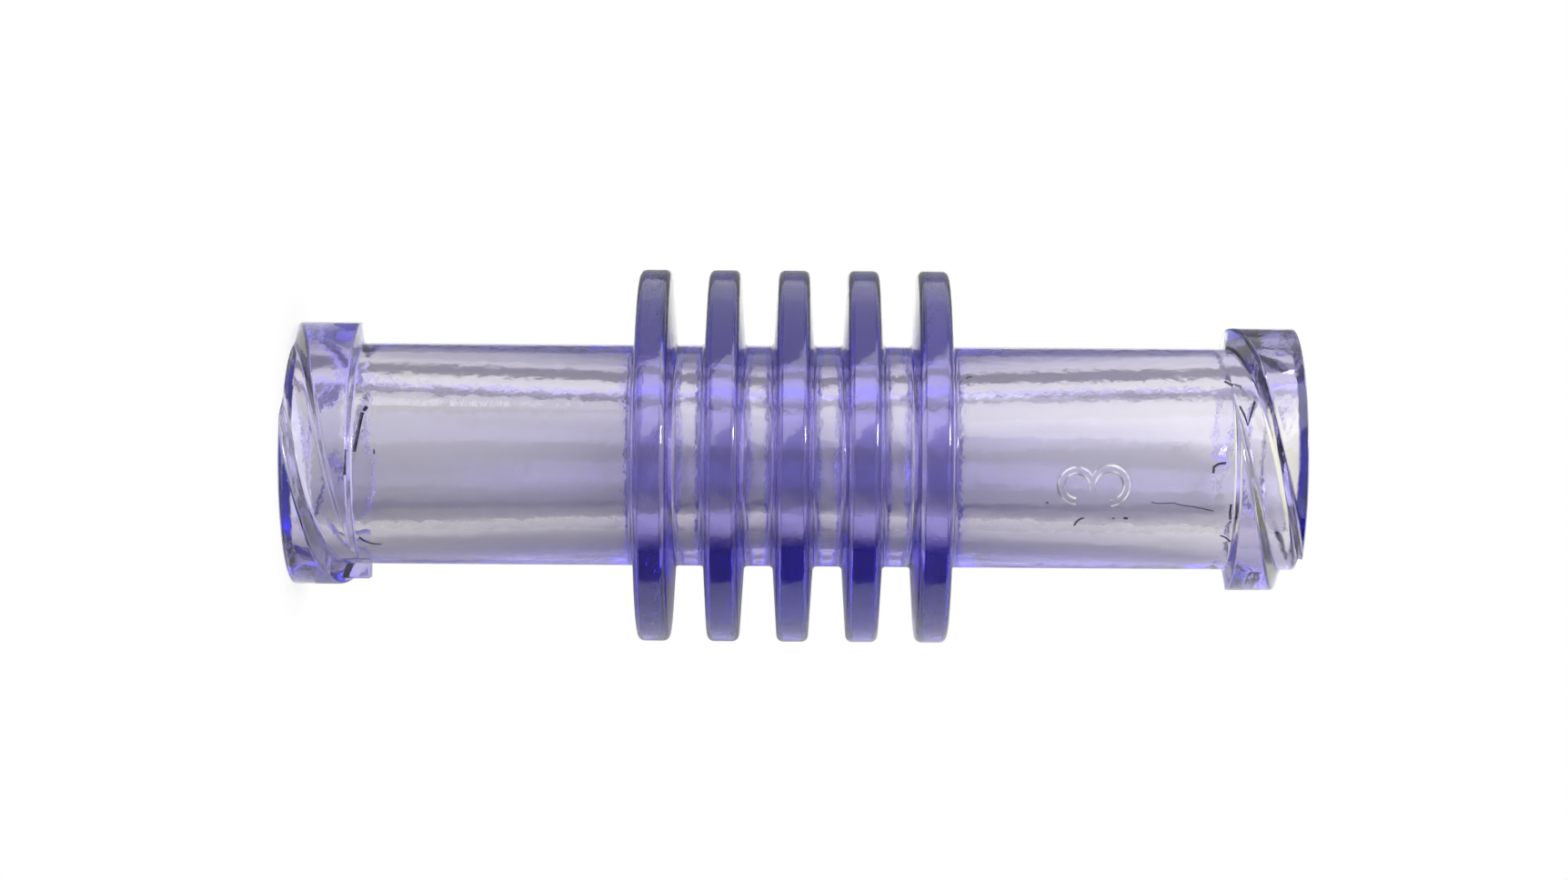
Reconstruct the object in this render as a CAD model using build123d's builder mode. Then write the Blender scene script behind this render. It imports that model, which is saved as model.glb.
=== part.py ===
from build123d import *
import os
from math import radians, tan

os.makedirs("parts", exist_ok=True)

# Driving sizes, in millimetres and degrees.
# Tube
overall_length = 29.65
hub_diameter = 6.57

# Tapered sockets, one at each end, and the short straight flow bore where they meet
socket_mouth_diameter = 4.3
socket_taper = 0.06
flow_bore_length = 2.05
mouth_chamfer = 0.15

# Grip ribs, centred on the tube's length
rib_count = 5
rib_diameter = 11.05
rib_pitch = 2.05
rib_crest_width = 0.92
rib_draft_angle = 3.6
rib_edge_chamfer = 0.09

# Lock thread: a short band at each end, cut by a right-hand groove for each start
thread_band_length = 2.0
thread_lead = 5.0
thread_crest_diameter = 7.8
groove_root_width = 0.76
groove_flank_angle = 16.5
groove_entry_angle = 34.0

# Moulding step behind the lower band, on the parting line
step_length = 0.85
step_reach = 0.26
step_height = 0.44
step_width = 0.7

# Radii and heights that follow from the sizes above
hub_radius = hub_diameter / 2
mouth_radius = socket_mouth_diameter / 2
socket_depth = (overall_length - flow_bore_length) / 2
bore_radius = mouth_radius - socket_taper * socket_depth / 2
rib_radius = rib_diameter / 2
rib_draft = (rib_radius - hub_radius) * tan(radians(rib_draft_angle))
rib_root_width = rib_crest_width + 2 * rib_draft
first_rib_height = overall_length / 2 - (rib_count - 1) * rib_pitch / 2
crest_radius = thread_crest_diameter / 2
upper_band_height = overall_length - thread_band_length
wall_middle_radius = (hub_radius + mouth_radius) / 2

# The groove opens outwards from its root on the tube, along straight flanks. Its cutter
# runs from inside the tube's wall to beyond the crest, and starts and ends clear of the band.
cutter_inner_radius = (hub_radius + wall_middle_radius) / 2
cutter_outer_radius = crest_radius + (crest_radius - hub_radius)
flank_slope = tan(radians(groove_flank_angle))
groove_inner_width = groove_root_width - 2 * flank_slope * (hub_radius - cutter_inner_radius)
groove_outer_width = groove_root_width + 2 * flank_slope * (cutter_outer_radius - hub_radius)
groove_run_out = groove_outer_width
groove_run_out_angle = 360 * groove_run_out / thread_lead

with BuildPart() as groove_cutter:
    groove_path = Helix(
        pitch=thread_lead,
        height=thread_band_length + 2 * groove_run_out,
        radius=crest_radius,
        center=(0, 0, -groove_run_out),
    )
    with BuildSketch(Plane.XZ):
        with BuildLine():
            Polyline(
                (cutter_inner_radius, -groove_run_out - groove_inner_width / 2),
                (cutter_outer_radius, -groove_run_out - groove_outer_width / 2),
                (cutter_outer_radius, -groove_run_out + groove_outer_width / 2),
                (cutter_inner_radius, -groove_run_out + groove_inner_width / 2),
                close=True,
            )
        make_face()
    sweep(path=groove_path, is_frenet=True)

# The mould parts on the XZ plane, and each of its halves cuts one groove. The groove of
# the front half starts near the parting line on -X and runs on to its natural end. That of
# the back half stops at the parting line.
with BuildPart() as front_groove:
    with Locations(Location((0, 0, 0), (0, 0, 180 + groove_entry_angle - groove_run_out_angle))):
        add(groove_cutter.part)

with BuildPart() as back_groove:
    with Locations(Location((0, 0, 0), (0, 0, groove_entry_angle - groove_run_out_angle))):
        add(groove_cutter.part)
    split(bisect_by=Plane.XZ, keep=Keep.BOTTOM)

# Lock thread of one end, standing on z = 0: the two lugs that the grooves leave of a plain
# ring. The ring begins half-way into the tube's wall, so the lugs root in the tube.
with BuildPart() as lugs:
    with BuildSketch():
        Circle(crest_radius)
        Circle(wall_middle_radius, mode=Mode.SUBTRACT)
    extrude(amount=thread_band_length)
    add(front_groove.part, mode=Mode.SUBTRACT)
    add(back_groove.part, mode=Mode.SUBTRACT)

# Coupler: one moulded piece, standing on its lower end face, with its axis along Z
with BuildPart() as coupler:
    # Tube and grip ribs, turned from one half section
    with BuildSketch(Plane.XZ) as half_section:
        with BuildLine():
            outline = [(0, 0), (hub_radius, 0)]
            for rib in range(rib_count):
                height = first_rib_height + rib * rib_pitch
                outline.append((hub_radius, height - rib_root_width / 2))
                outline.append((rib_radius, height - rib_crest_width / 2))
                outline.append((rib_radius, height + rib_crest_width / 2))
                outline.append((hub_radius, height + rib_root_width / 2))
            outline.append((hub_radius, overall_length))
            outline.append((0, overall_length))
            Polyline(*outline, close=True)
        make_face()
        rib_corners = half_section.vertices().group_by(Axis.X)[-1]
        chamfer(rib_corners, rib_edge_chamfer)
    revolve(axis=Axis.Z)

    # Lock threads
    with Locations((0, 0, 0), (0, 0, upper_band_height)):
        add(lugs.part)

    # Moulding step, rooted in the tube's wall and in the lower band's rear side
    with BuildSketch(Plane.XY.offset(thread_band_length + step_reach)):
        with Locations((wall_middle_radius, 0)):
            Rectangle(
                hub_radius + step_height - wall_middle_radius,
                step_width,
                align=(Align.MIN, Align.CENTER),
            )
    extrude(amount=-step_length)

    # Sockets and flow bore, right through
    with BuildSketch(Plane.XZ):
        with BuildLine():
            Polyline(
                (0, 0),
                (mouth_radius, 0),
                (bore_radius, socket_depth),
                (bore_radius, overall_length - socket_depth),
                (mouth_radius, overall_length),
                (0, overall_length),
                close=True,
            )
        make_face()
    revolve(axis=Axis.Z, mode=Mode.SUBTRACT)
    circles = coupler.edges().filter_by(GeomType.CIRCLE)
    mouth_edges = circles.filter_by(lambda edge: abs(edge.radius - mouth_radius) < mouth_chamfer)
    chamfer(mouth_edges, mouth_chamfer)

coupler.part.label = "coupler"
export_step(coupler.part, "parts/coupler.step")
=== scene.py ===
import bpy
from math import cos, pi, radians, sin, tan

from mathutils import Matrix, Vector


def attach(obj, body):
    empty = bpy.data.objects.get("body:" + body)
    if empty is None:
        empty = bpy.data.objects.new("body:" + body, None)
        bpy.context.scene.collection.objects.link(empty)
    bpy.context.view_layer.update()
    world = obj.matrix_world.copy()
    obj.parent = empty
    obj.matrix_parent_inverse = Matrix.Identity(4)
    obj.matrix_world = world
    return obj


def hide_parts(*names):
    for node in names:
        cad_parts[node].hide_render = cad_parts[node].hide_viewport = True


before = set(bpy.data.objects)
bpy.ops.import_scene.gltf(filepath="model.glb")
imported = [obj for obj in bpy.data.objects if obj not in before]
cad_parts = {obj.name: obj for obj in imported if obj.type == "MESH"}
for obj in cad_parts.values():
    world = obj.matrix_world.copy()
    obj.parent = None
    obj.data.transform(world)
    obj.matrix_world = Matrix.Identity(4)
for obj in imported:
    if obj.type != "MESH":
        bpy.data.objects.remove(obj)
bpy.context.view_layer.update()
mm = 0.001


# Camera. The photograph looks square at the coupler's side from about eleven centimetres,
# through a long lens, with the coupler lying along the picture: its axis, +Z, points to the
# right and -X points up. The picture is turned by less than half a degree.
bpy.ops.object.select_all(action="DESELECT")
bpy.ops.object.camera_add()
camera = bpy.context.object
camera.name = "camera"
camera.data.sensor_width = 36
camera.data.lens = 83.2
camera.data.clip_start = 0.005
camera.data.clip_end = 5
camera.matrix_world = (
    Matrix.Translation((-0.476 * mm, -108.0 * mm, 15.108 * mm))
    @ Matrix.Rotation(radians(-0.3), 4, "X")
    @ Matrix.Rotation(radians(-90.4), 4, "Y")
    @ Matrix.Rotation(radians(90), 4, "X")
)
bpy.context.scene.camera = camera


# Coupler body. One injection moulding of clear violet polycarbonate: a tube with round grip
# ribs turned at its middle, open right through, with a tapered luer socket in each end.
length = 29.65 * mm
hub_radius = 3.285 * mm
rib_radius = 5.525 * mm
rib_pitch = 2.05 * mm
rib_heights = [length / 2 + step * rib_pitch for step in (-2, -1, 0, 1, 2)]
rib_half_crest = 0.46 * mm
rib_half_root = 0.60 * mm
rib_crest_round = 0.2 * mm
rib_root_round = 0.12 * mm
mouth_radius = 2.15 * mm
bore_radius = 1.736 * mm
socket_depth = 13.8 * mm
mouth_bevel = 0.15 * mm
mouth_round = 0.05 * mm
round_steps = 240
merge_distance = 0.0005 * mm


def choose(piece, kind, test):
    """Selects what the test picks of a kind, and leaves the piece in edit mode."""
    bpy.ops.object.select_all(action="DESELECT")
    piece.select_set(True)
    bpy.context.view_layer.objects.active = piece
    bpy.ops.object.mode_set(mode="EDIT")
    bpy.ops.mesh.select_mode(type=kind)
    bpy.ops.mesh.select_all(action="DESELECT")
    bpy.ops.object.mode_set(mode="OBJECT")
    items = piece.data.edges if kind == "EDGE" else piece.data.polygons
    for item in items:
        item.select = test(item)
    bpy.ops.object.mode_set(mode="EDIT")


def rounded(corners, radii, steps=5):
    """Rounds the corners of an outline, each with its own radius, 0 for a sharp one."""
    points = []
    for place, radius in enumerate(radii):
        here = Vector(corners[place])
        before = Vector(corners[place - 1]) - here
        after = Vector(corners[(place + 1) % len(corners)]) - here
        if radius == 0:
            points.append(tuple(here))
            continue
        half = before.angle(after) / 2
        start = here + before.normalized() * radius / tan(half)
        inwards = (before.normalized() + after.normalized()).normalized()
        centre = here + inwards * radius / sin(half)
        arm = start - centre
        turn = (pi - 2 * half) * (1 if before.x * after.y - before.y * after.x < 0 else -1)
        for step in range(steps + 1):
            angle = turn * step / steps
            points.append((
                centre.x + arm.x * cos(angle) - arm.y * sin(angle),
                centre.y + arm.x * sin(angle) + arm.y * cos(angle),
            ))
    return points


def merge_and_face_out(piece):
    """Merges the piece's doubled vertices and turns its faces outwards."""
    choose(piece, "FACE", lambda face: True)
    bpy.ops.mesh.remove_doubles(threshold=merge_distance)
    bpy.ops.mesh.normals_make_consistent(inside=False)
    bpy.ops.object.mode_set(mode="OBJECT")


def turn_profile(name, outline):
    """Turns an outline of (radius, height) corners round the axis into a closed body."""
    bpy.ops.object.select_all(action="DESELECT")
    bpy.ops.mesh.primitive_circle_add(vertices=len(outline), radius=mm, fill_type="NOTHING")
    piece = bpy.context.object
    piece.name = name
    for vertex, (radius, height) in zip(piece.data.vertices, outline):
        vertex.co = (radius, 0, height)
    bpy.ops.object.mode_set(mode="EDIT")
    bpy.ops.mesh.select_all(action="SELECT")
    bpy.ops.mesh.spin(steps=round_steps, angle=2 * pi, center=(0, 0, 0), axis=(0, 0, 1))
    bpy.ops.object.mode_set(mode="OBJECT")
    merge_and_face_out(piece)
    return piece


band_length = 2.0 * mm
crest_radius = 3.9 * mm
band_rear_edge = band_length - 0.04 * mm
band_rear_root = band_length + 0.02 * mm
band_front_round = 0.06 * mm
band_rear_round = 0.07 * mm
band_root_round = 0.08 * mm
corners = [
    (mouth_radius + mouth_bevel, 0),
    (crest_radius, 0),
    (crest_radius, band_rear_edge),
    (hub_radius, band_rear_root),
]
radii = [mouth_round, band_front_round, band_rear_round, band_root_round]
for height in rib_heights:
    corners += [
        (hub_radius, height - rib_half_root),
        (rib_radius, height - rib_half_crest),
        (rib_radius, height + rib_half_crest),
        (hub_radius, height + rib_half_root),
    ]
    radii += [rib_root_round, rib_crest_round, rib_crest_round, rib_root_round]
corners += [
    (hub_radius, length - band_rear_root),
    (crest_radius, length - band_rear_edge),
    (crest_radius, length),
    (mouth_radius + mouth_bevel, length),
    (mouth_radius, length - mouth_bevel),
    (bore_radius, length - socket_depth),
    (bore_radius, socket_depth),
    (mouth_radius, mouth_bevel),
]
radii += [band_root_round, band_rear_round, band_front_round, mouth_round]
radii += [mouth_round, 0, 0, mouth_round]
coupler = turn_profile("coupler_moulding", rounded(corners, radii))


# Lock threads. Each end carries a short band, moulded with the tube, in which two right-hand
# helical grooves leave the two lugs that a male collar screws on to. The front half of the
# mould cuts its groove right through, and the rear half stops at the parting line.
lead = 5.0 * mm
entry_angle = 34.0
groove_run_out = 1.5 * mm
groove_half_section = [
    (3.29, 0.27), (3.30, 0.33), (3.32, 0.365), (3.36, 0.392), (3.43, 0.423),
    (3.80, 0.532), (3.85, 0.553), (3.88, 0.583), (3.897, 0.63), (3.91, 0.72), (4.20, 0.76),
]


def join(body, tool, operation="UNION"):
    """Joins a tool to the body, or cuts it out, and removes the tool."""
    bpy.ops.object.select_all(action="DESELECT")
    body.select_set(True)
    bpy.context.view_layer.objects.active = body
    step = body.modifiers.new("step", "BOOLEAN")
    step.operation = operation
    step.solver = "EXACT"
    step.material_mode = "TRANSFER"
    step.object = tool
    bpy.ops.object.modifier_apply(modifier=step.name)
    bpy.data.objects.remove(tool)


def groove_cutter(start_angle, level):
    """A helical bar with the groove's section, whose middle crosses a level at an angle."""
    turned = 360 * (band_length + 2 * groove_run_out) / lead
    section = [(radius * mm, half * mm) for radius, half in groove_half_section]
    section += [(radius, -half) for radius, half in reversed(section)]
    bpy.ops.object.select_all(action="DESELECT")
    bpy.ops.mesh.primitive_circle_add(vertices=len(section), radius=mm, fill_type="NOTHING")
    cutter = bpy.context.object
    for vertex, (radius, height) in zip(cutter.data.vertices, section):
        vertex.co = (radius, 0, height)
    screw = cutter.modifiers.new("groove", "SCREW")
    screw.axis = "Z"
    screw.angle = radians(turned)
    screw.screw_offset = lead * turned / 360
    screw.steps = screw.render_steps = round(round_steps * turned / 360)
    screw.use_smooth_shade = False
    bpy.ops.object.modifier_apply(modifier=screw.name)
    turn = Matrix.Rotation(radians(start_angle - 360 * groove_run_out / lead), 4, "Z")
    cutter.data.transform(Matrix.Translation((0, 0, level - groove_run_out)) @ turn)
    return cutter


def close_ends(cutter):
    """Fills the open ends of a cutter and turns its faces outwards."""
    choose(cutter, "EDGE", lambda edge: False)
    bpy.ops.mesh.select_non_manifold()
    bpy.ops.mesh.fill_holes(sides=0)
    bpy.ops.mesh.select_all(action="SELECT")
    bpy.ops.mesh.normals_make_consistent(inside=False)
    bpy.ops.object.mode_set(mode="OBJECT")


for level in (0, length - band_length):
    front = groove_cutter(180 + entry_angle, level)
    close_ends(front)
    join(coupler, front, "DIFFERENCE")
    rear = groove_cutter(entry_angle, level)
    choose(rear, "FACE", lambda face: True)
    bpy.ops.mesh.bisect(plane_co=(0, 0, 0), plane_no=(0, 1, 0), clear_inner=True)
    bpy.ops.object.mode_set(mode="OBJECT")
    close_ends(rear)
    join(coupler, rear, "DIFFERENCE")


# Moulding step. A small block behind the lower band, on the parting line, left by the mould
# where its two halves meet.
step_place = (3.2225 * mm, 0, 1.835 * mm)
step_size = (1.005, 0.7, 0.85)
step_round = 0.05 * mm
bpy.ops.object.select_all(action="DESELECT")
bpy.ops.mesh.primitive_cube_add(size=mm, location=step_place)
step_block = bpy.context.object
step_block.scale = step_size
bpy.ops.object.transform_apply(location=True, rotation=False, scale=True)
rounding = step_block.modifiers.new("rounding", "BEVEL")
rounding.width = step_round
rounding.segments = 3
bpy.ops.object.modifier_apply(modifier=rounding.name)
join(coupler, step_block)


# Clear violet polycarbonate. The tint lies in the plastic itself, so thin walls look almost
# colourless and the thick ribs a full violet. The skin is glossy, with a faint haze, an orange
# peel from the mould and flow marks drawn out along the tube.
tint_colour = (0.208, 0.1, 0.88, 1)
tint_density = 240
refractive_index = 1.585


def add_tint(material):
    """Gives a material the violet tint of the plastic behind its surface."""
    nodes = material.node_tree.nodes
    tint = nodes.new("ShaderNodeVolumeAbsorption")
    tint.inputs["Color"].default_value = tint_colour
    tint.inputs["Density"].default_value = tint_density
    volume = nodes["Material Output"].inputs["Volume"]
    material.node_tree.links.new(tint.outputs["Volume"], volume)


plastic = bpy.data.materials.new("clear_violet_plastic")
plastic.use_nodes = True
nodes = plastic.node_tree.nodes
links = plastic.node_tree.links
skin = nodes["Principled BSDF"]
skin.inputs["Base Color"].default_value = (0.96, 0.955, 0.98, 1)
skin.inputs["IOR"].default_value = refractive_index
skin.inputs["Transmission Weight"].default_value = 1
add_tint(plastic)
place = nodes.new("ShaderNodeTexCoord")
haze = nodes.new("ShaderNodeTexNoise")
haze.inputs["Scale"].default_value = 900
haze.inputs["Detail"].default_value = 4
dulled = nodes.new("ShaderNodeMapRange")
dulled.inputs["From Min"].default_value = 0.3
dulled.inputs["From Max"].default_value = 0.7
dulled.inputs["To Min"].default_value = 0.045
dulled.inputs["To Max"].default_value = 0.11
links.new(place.outputs["Object"], haze.inputs["Vector"])
links.new(haze.outputs["Fac"], dulled.inputs["Value"])
links.new(dulled.outputs["Result"], skin.inputs["Roughness"])
peel = nodes.new("ShaderNodeTexNoise")
peel.inputs["Scale"].default_value = 2600
peel.inputs["Detail"].default_value = 3
flow_stretch = nodes.new("ShaderNodeMapping")
flow_stretch.inputs["Scale"].default_value = (1, 1, 0.12)
flow = nodes.new("ShaderNodeTexNoise")
flow.inputs["Scale"].default_value = 700
flow.inputs["Detail"].default_value = 2
links.new(place.outputs["Object"], peel.inputs["Vector"])
links.new(place.outputs["Object"], flow_stretch.inputs["Vector"])
links.new(flow_stretch.outputs["Vector"], flow.inputs["Vector"])
waves = nodes.new("ShaderNodeMath")
waves.operation = "MULTIPLY_ADD"
waves.inputs[1].default_value = 1.6
links.new(flow.outputs["Fac"], waves.inputs[0])
links.new(peel.outputs["Fac"], waves.inputs[2])
relief = nodes.new("ShaderNodeBump")
relief.inputs["Strength"].default_value = 0.7
relief.inputs["Distance"].default_value = 0.018 * mm
links.new(waves.outputs["Value"], relief.inputs["Height"])
links.new(relief.outputs["Normal"], skin.inputs["Normal"])
coupler.data.materials.clear()
coupler.data.materials.append(plastic)


# Moulded number. A plain raised 3 on the tube's front, near its upper end, cut into the mould to
# tell its cavities apart: two open arcs of one flat bar, with steep sides left frosted by the
# spark that cut the mould. The frosted sides are also painted a pale cloudy white, a painted
# glint along the number's edges.
bar_section = [
    (-0.135, -0.06), (-0.122, 0.01), (-0.112, 0.045), (-0.095, 0.065), (-0.06, 0.072),
    (0, 0.074),
    (0.06, 0.072), (0.095, 0.065), (0.112, 0.045), (0.122, 0.01), (0.135, -0.06),
]
bar_root = 0.12 * mm
frosted_glint_strips = 4
frost_and_glint = bpy.data.materials.new("frosted_number_side_painted_glint")
frost_and_glint.use_nodes = True
nodes = frost_and_glint.node_tree.nodes
links = frost_and_glint.node_tree.links
skin = nodes["Principled BSDF"]
skin.inputs["IOR"].default_value = refractive_index
skin.inputs["Transmission Weight"].default_value = 0.2
place = nodes.new("ShaderNodeTexCoord")
sparks = nodes.new("ShaderNodeTexNoise")
sparks.inputs["Scale"].default_value = 20000
dulled = nodes.new("ShaderNodeMapRange")
dulled.inputs["To Min"].default_value = 0.2
dulled.inputs["To Max"].default_value = 0.6
cloudy = nodes.new("ShaderNodeTexNoise")
cloudy.inputs["Scale"].default_value = 3500
# Painted glint: the sides' pale cloudy white stands in for the glints along the number's edges.
painted_glint_white = nodes.new("ShaderNodeValToRGB")
painted_glint_white.color_ramp.elements[0].position = 0.38
painted_glint_white.color_ramp.elements[0].color = (0.30, 0.29, 0.36, 1)
painted_glint_white.color_ramp.elements[1].position = 0.62
painted_glint_white.color_ramp.elements[1].color = (0.80, 0.80, 0.84, 1)
links.new(place.outputs["Object"], sparks.inputs["Vector"])
links.new(place.outputs["Object"], cloudy.inputs["Vector"])
links.new(cloudy.outputs["Fac"], painted_glint_white.inputs["Fac"])
links.new(painted_glint_white.outputs["Color"], skin.inputs["Base Color"])
links.new(sparks.outputs["Fac"], dulled.inputs["Value"])
links.new(dulled.outputs["Result"], skin.inputs["Roughness"])
add_tint(frost_and_glint)


def arc(height, across, radius, start, stop, steps=40):
    """Places and outward directions along an arc about (height, across), from the start angle
    to the stop angle: 0 degrees points to +Z and 90 to -X."""
    angles = [radians(start + (stop - start) * step / steps) for step in range(steps + 1)]
    return [
        (height + radius * cos(angle), across - radius * sin(angle), cos(angle), -sin(angle))
        for angle in angles
    ]


def raised_bar(name, path):
    """A bar with the number's section that follows a path on the front skin."""
    bpy.ops.object.select_all(action="DESELECT")
    bpy.ops.mesh.primitive_grid_add(
        x_subdivisions=len(bar_section) - 1, y_subdivisions=len(path) - 1, size=mm
    )
    bar = bpy.context.object
    bar.name = name
    for place, vertex in enumerate(bar.data.vertices):
        height, across, out_height, out_across = path[place // len(bar_section)]
        offset, lift = bar_section[place % len(bar_section)]
        across += offset * mm * out_across
        height += offset * mm * out_height
        vertex.co = (across, -((hub_radius + lift * mm) ** 2 - across ** 2) ** 0.5, height)
    bar.data.materials.append(plastic)
    bar.data.materials.append(frost_and_glint)
    # The side strips take the frosted material with its painted glint.
    strips = len(bar_section) - 1
    for face in bar.data.polygons:
        strip = face.index % strips
        side = strip < frosted_glint_strips or strip >= strips - frosted_glint_strips
        face.material_index = 1 if side else 0
    choose(bar, "FACE", lambda face: True)
    bpy.ops.mesh.extrude_region_move(TRANSFORM_OT_translate={"value": (0, bar_root, 0)})
    bpy.ops.mesh.select_all(action="SELECT")
    bpy.ops.mesh.normals_make_consistent(inside=False)
    bpy.ops.object.mode_set(mode="OBJECT")
    return bar


small_arc = arc(23.03 * mm, 0.79 * mm, radius=0.447 * mm, start=268, stop=-12)
large_arc = arc(23.98 * mm, 0.78 * mm, radius=0.50 * mm, start=194, stop=-84)
join(coupler, raised_bar("number_small_arc", small_arc))
join(coupler, raised_bar("number_large_arc", large_arc))


# Wear. Small nicks, cracks and hairline scratches in the front skin, each lined with a dark
# coat:
# some round the number, and more at both lock threads, where collars were screwed on and off.
# Each is given by the radius of the skin, its own half width and its (height, x) places in mm.
nicks = [
    (3.285, 0.030, [(23.00, 1.96), (23.08, 1.83), (23.17, 1.76), (23.27, 1.73)]),
    (3.285, 0.026, [(24.09, 1.73), (24.17, 1.735)]),
    (3.285, 0.040, [(24.42, 1.72), (24.49, 1.735), (24.55, 1.74)]),
    (3.285, 0.022, [(22.16, 1.28), (22.23, 1.29)]),
    (3.285, 0.018, [
        (25.21, 1.25), (25.36, 1.29), (25.58, 1.28), (25.84, 1.27), (26.06, 1.33),
        (26.37, 1.37), (26.66, 1.42), (27.02, 1.50),
    ]),
    (3.285, 0.095, [(2.37, -1.33), (2.45, -1.28)]),
    (3.285, 0.060, [(2.33, -1.20), (2.26, -0.80), (2.19, -0.40), (2.13, -0.05)]),
    (3.87, 0.050, [(1.98, -0.12), (1.96, 0.25), (1.93, 0.62)]),
    (3.285, 0.036, [(2.16, 2.45), (2.30, 2.57), (2.52, 2.65), (2.76, 2.66)]),
    (3.285, 0.026, [(2.70, -0.12), (2.71, 0.01)]),
    (3.9, 0.034, [(1.34, 1.30), (1.24, 1.50), (1.14, 1.72)]),
    (3.285, 0.045, [(27.38, -2.28), (27.48, -2.22), (27.60, -2.15)]),
    (3.30, 0.036, [
        (27.76, -1.55), (27.88, -1.30), (27.97, -1.00), (28.07, -1.30), (28.20, -1.70),
    ]),
    (3.285, 0.042, [(26.97, 0.40), (26.98, 0.22), (27.12, 0.13), (27.33, 0.10)]),
    (3.285, 0.036, [(27.52, 1.30), (27.50, 1.52), (27.52, 1.75)]),
    (3.285, 0.030, [(27.28, 2.22), (27.44, 2.28), (27.60, 2.40)]),
    (3.285, 0.028, [(19.85, -2.30), (19.94, -2.36), (20.03, -2.35)]),
]
# A dark opaque coat of patchy tone lines each cut.
dark_coat = bpy.data.materials.new("dark_nick_coat")
dark_coat.use_nodes = True
nodes = dark_coat.node_tree.nodes
links = dark_coat.node_tree.links
coat = nodes["Principled BSDF"]
coat.inputs["Roughness"].default_value = 0.6
place = nodes.new("ShaderNodeTexCoord")
patches = nodes.new("ShaderNodeTexNoise")
patches.inputs["Scale"].default_value = 9000
shade = nodes.new("ShaderNodeValToRGB")
shade.color_ramp.elements[0].position = 0.35
shade.color_ramp.elements[0].color = (0.012, 0.010, 0.03, 1)
shade.color_ramp.elements[1].position = 0.7
shade.color_ramp.elements[1].color = (0.09, 0.08, 0.16, 1)
links.new(place.outputs["Object"], patches.inputs["Vector"])
links.new(patches.outputs["Fac"], shade.inputs["Fac"])
links.new(shade.outputs["Color"], coat.inputs["Base Color"])


def engrave(name, skin_radius, half_width, places):
    """Cuts a hairline lined with a dark coat through (height, x) places in millimetres into the
    front skin.
    """
    curve = bpy.data.curves.new(name, "CURVE")
    curve.dimensions = "3D"
    curve.bevel_depth = half_width * mm
    curve.bevel_resolution = 1
    curve.use_fill_caps = True
    line = curve.splines.new("POLY")
    line.points.add(len(places) - 1)
    for point, (height, across) in zip(line.points, places):
        depth = (skin_radius ** 2 - across ** 2) ** 0.5
        point.co = (across * mm, -depth * mm, height * mm, 1)
    hairline = bpy.data.objects.new(name, curve)
    bpy.context.collection.objects.link(hairline)
    bpy.ops.object.select_all(action="DESELECT")
    hairline.select_set(True)
    bpy.context.view_layer.objects.active = hairline
    bpy.ops.object.convert(target="MESH")
    hairline.data.materials.append(dark_coat)
    merge_and_face_out(hairline)
    join(coupler, hairline, "DIFFERENCE")


for order, (skin_radius, half_width, places) in enumerate(nicks):
    engrave(f"nick_{order}", skin_radius, half_width, places)

sharpest_smooth_edge = 38
merge_and_face_out(coupler)
bpy.ops.object.shade_smooth_by_angle(angle=radians(sharpest_smooth_edge))

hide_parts("coupler")
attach(coupler, "root")


# Floor. A small pale sheet that the coupler stands on, in front of the warm card. It shows plain
# white away from the coupler and keeps its soft shadow round the foot.
lean = 18
card_gap = 5.53 * mm
sheet_size = 80 * mm
sheet_clearance = 0.1 * mm
bpy.ops.object.select_all(action="DESELECT")
bpy.ops.mesh.primitive_plane_add(size=sheet_size)
floor = bpy.context.object
floor.name = "floor"
floor.location.y = card_gap - sheet_clearance - sheet_size / 2
bpy.ops.object.transform_apply(location=True, rotation=False, scale=False)
floor.rotation_euler.z = radians(-lean)
bpy.ops.object.transform_apply(location=False, rotation=True, scale=False)
paper = bpy.data.materials.new("white_paper")
paper.use_nodes = True
nodes = paper.node_tree.nodes
links = paper.node_tree.links
nodes.remove(nodes["Principled BSDF"])
matt = nodes.new("ShaderNodeBsdfDiffuse")
matt.inputs["Color"].default_value = (0.85, 0.85, 0.85, 1)
white = nodes.new("ShaderNodeEmission")
place = nodes.new("ShaderNodeTexCoord")
distance = nodes.new("ShaderNodeVectorMath")
distance.operation = "LENGTH"
fade = nodes.new("ShaderNodeMapRange")
fade.inputs["From Min"].default_value = 3.6 * mm
fade.inputs["From Max"].default_value = 5.2 * mm
fade.inputs["To Min"].default_value = 0.8
fade.inputs["To Max"].default_value = 1
links.new(place.outputs["Object"], distance.inputs[0])
links.new(distance.outputs["Value"], fade.inputs["Value"])


def through_plastic(nodes, links):
    """1 for what is seen through the plastic or mirrored in its gloss."""
    seen = nodes.new("ShaderNodeLightPath")
    mirrored = nodes.new("ShaderNodeMath")
    mirrored.operation = "MAXIMUM"
    links.new(seen.outputs["Is Glossy Ray"], mirrored.inputs[0])
    links.new(seen.outputs["Is Transmission Ray"], mirrored.inputs[1])
    return mirrored.outputs["Value"]


def looked_at(nodes, links):
    """1 for what the camera sees, straight, through the plastic or in its gloss."""
    seen = nodes.new("ShaderNodeLightPath")
    either = nodes.new("ShaderNodeMath")
    either.operation = "MAXIMUM"
    links.new(seen.outputs["Is Camera Ray"], either.inputs[0])
    links.new(through_plastic(nodes, links), either.inputs[1])
    return either.outputs["Value"]


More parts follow.
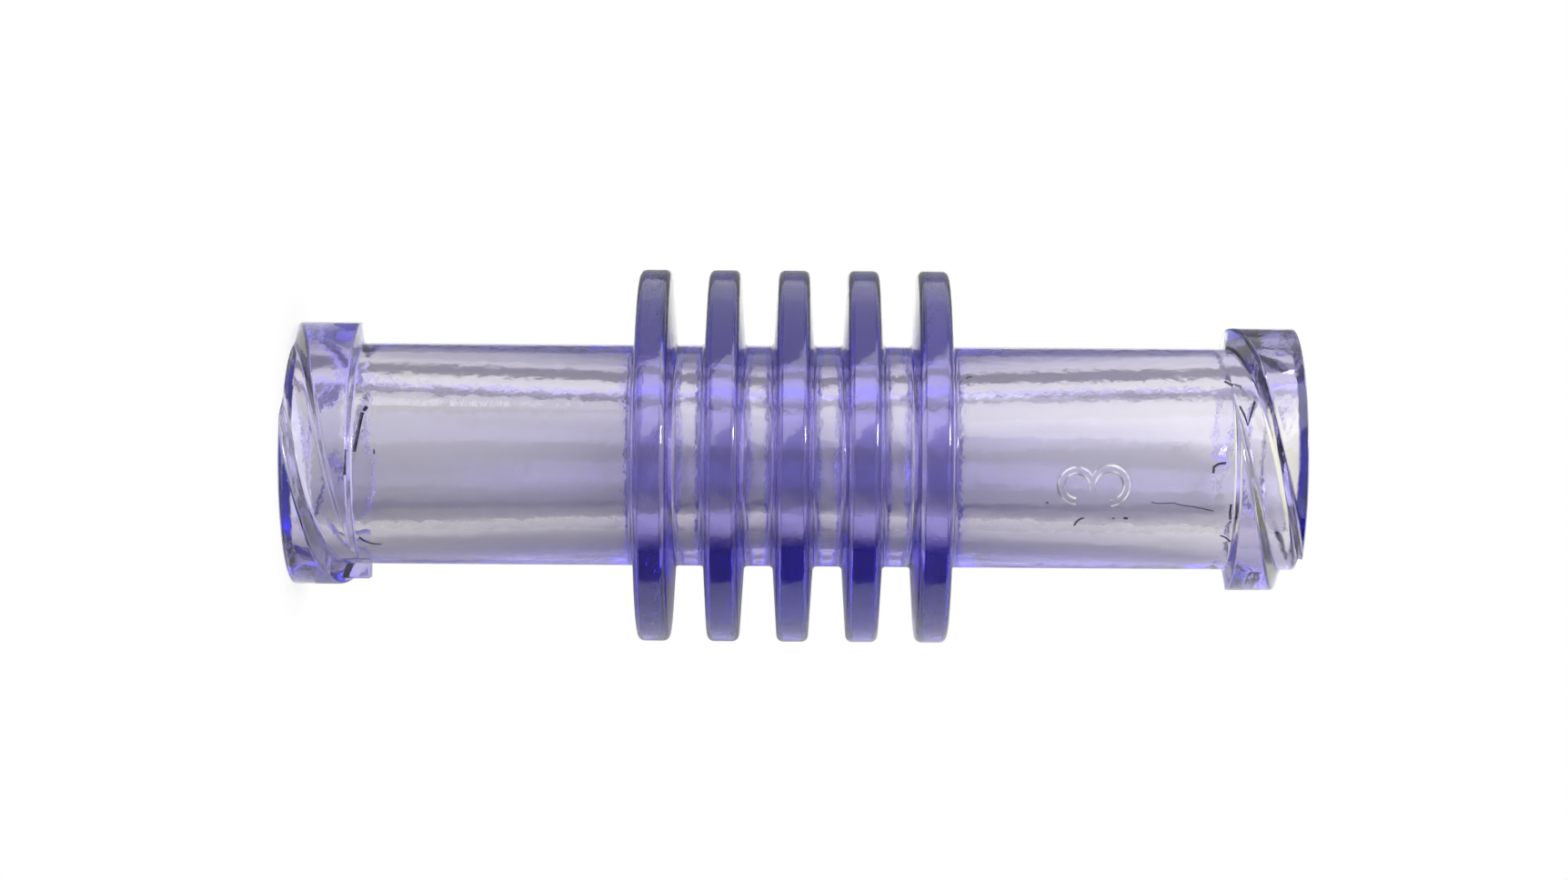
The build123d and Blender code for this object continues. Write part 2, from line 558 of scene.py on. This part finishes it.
both = nodes.new("ShaderNodeMath")
both.operation = "MULTIPLY"
blend = nodes.new("ShaderNodeMixShader")
links.new(fade.outputs["Result"], both.inputs[0])
links.new(looked_at(nodes, links), both.inputs[1])
links.new(both.outputs["Value"], blend.inputs["Fac"])
links.new(matt.outputs["BSDF"], blend.inputs[1])
links.new(white.outputs["Emission"], blend.inputs[2])
links.new(blend.outputs["Shader"], nodes["Material Output"].inputs["Surface"])
floor.data.materials.append(paper)


# Cards. A warm white card leans close behind the coupler, as the table lies in the photograph.
# A small black one at the coupler's +X side darkens what the ribs mirror, and a narrow grey one
# at its -X side darkens the outlines. The camera looks past all three.
def place_card(name, colour, place, across, height, turn, glow):
    """Places an upright card: its middle, its width and height and its turn about Z. The
    plastic's gloss mirrors it without its hue. Glow is the share of its plain colour that
    shows through the plastic whatever light falls on it."""
    bpy.ops.object.select_all(action="DESELECT")
    bpy.ops.mesh.primitive_plane_add(size=1, rotation=(radians(90), 0, 0))
    card = bpy.context.object
    card.name = name
    card.scale = (across, height, 1)
    bpy.ops.object.transform_apply(location=False, rotation=True, scale=True)
    card.rotation_euler.z = radians(turn)
    card.location = (place[0], place[1], length / 2)
    bpy.ops.object.transform_apply(location=True, rotation=True, scale=True)
    board = bpy.data.materials.new(name)
    board.use_nodes = True
    nodes = board.node_tree.nodes
    links = board.node_tree.links
    nodes.remove(nodes["Principled BSDF"])
    matt = nodes.new("ShaderNodeBsdfDiffuse")
    seen = nodes.new("ShaderNodeLightPath")
    tone = nodes.new("ShaderNodeMix")
    tone.data_type = "RGBA"
    tone.inputs["A"].default_value = (*colour, 1)
    tone.inputs["B"].default_value = (colour[0], colour[0], colour[0], 1)
    mirror_only = nodes.new("ShaderNodeMath")
    mirror_only.operation = "GREATER_THAN"
    links.new(seen.outputs["Is Glossy Ray"], mirror_only.inputs[0])
    links.new(seen.outputs["Is Transmission Ray"], mirror_only.inputs[1])
    links.new(mirror_only.outputs["Value"], tone.inputs["Factor"])
    links.new(tone.outputs["Result"], matt.inputs["Color"])
    # Painted glow: the card's plain colour, shown with no light falling on it.
    plain = nodes.new("ShaderNodeEmission")
    links.new(tone.outputs["Result"], plain.inputs["Color"])
    share = nodes.new("ShaderNodeMath")
    share.operation = "MULTIPLY"
    share.inputs[1].default_value = glow
    lit_and_glowing = nodes.new("ShaderNodeMixShader")
    clear = nodes.new("ShaderNodeBsdfTransparent")
    blend = nodes.new("ShaderNodeMixShader")
    links.new(through_plastic(nodes, links), share.inputs[0])
    links.new(share.outputs["Value"], lit_and_glowing.inputs["Fac"])
    links.new(matt.outputs["BSDF"], lit_and_glowing.inputs[1])
    links.new(plain.outputs["Emission"], lit_and_glowing.inputs[2])
    links.new(seen.outputs["Is Camera Ray"], blend.inputs["Fac"])
    links.new(lit_and_glowing.outputs["Shader"], blend.inputs[1])
    links.new(clear.outputs["BSDF"], blend.inputs[2])
    links.new(blend.outputs["Shader"], nodes["Material Output"].inputs["Surface"])
    card.data.materials.append(board)


card_place = (card_gap * sin(radians(lean)), card_gap * cos(radians(lean)))
black_place = (40 * mm, -14 * mm)
strip_place = (-11.7 * mm, 9.3 * mm)
# Painted light: the warm card glows through the plastic at 8 per cent of its colour whatever
# light falls on it. Its yellow tone is partly its own colour and partly stands in for warm
# light.
place_card("warm_card", (0.85, 0.88, 0.55), card_place, 0.4, 0.4, turn=-lean, glow=0.08)
place_card("black_card", (0.02, 0.02, 0.02), black_place, 0.036, 0.2, turn=70, glow=0)
place_card("grey_strip", (0.3, 0.3, 0.22), strip_place, 0.01, 0.2, turn=-lean, glow=0)


# Light. A large soft box hangs on the -X side, which is the top of the picture, with a weak one
# beyond it, a narrow one opposite that fills the shade and a tiny bright one for the glints.
# The room is pale and even, and the camera sees it as plain white.
box_height = 0.015


def soft_box(name, place, across, height, radiance):
    """Hangs a soft box that faces the coupler and looks equally bright from any distance."""
    bpy.ops.object.select_all(action="DESELECT")
    bpy.ops.object.light_add(type="AREA", location=place)
    box = bpy.context.object
    box.name = name
    box.data.shape = "RECTANGLE"
    box.data.size = across
    box.data.size_y = height
    box.data.energy = radiance * pi * across * height
    box.visible_camera = False
    facing = Vector((0, 0, box_height)) - box.location
    box.rotation_euler = facing.to_track_quat("-Z", "Z").to_euler()


soft_box("key_box", (-0.16, -0.21, box_height), 0.18, 0.7, radiance=2.5)
soft_box("low_box", (-0.29, -0.06, box_height), 0.16, 0.7, radiance=0.2)
soft_box("fill_box", (0.16, -0.22, box_height), 0.08, 0.7, radiance=0.5)
soft_box("glint_box", (-0.05, -0.16, 0.2), 0.03, 0.06, radiance=45)

room = bpy.data.worlds.new("pale_room")
bpy.context.scene.world = room
room.use_nodes = True
nodes = room.node_tree.nodes
links = room.node_tree.links
back = nodes["Background"]
back.inputs["Color"].default_value = (1, 1, 1, 1)
level = nodes.new("ShaderNodeMapRange")
level.inputs["To Min"].default_value = 0.7
level.inputs["To Max"].default_value = 1
links.new(looked_at(nodes, links), level.inputs["Value"])
links.new(level.outputs["Result"], back.inputs["Strength"])
bpy.context.scene.view_settings.view_transform = "Standard"
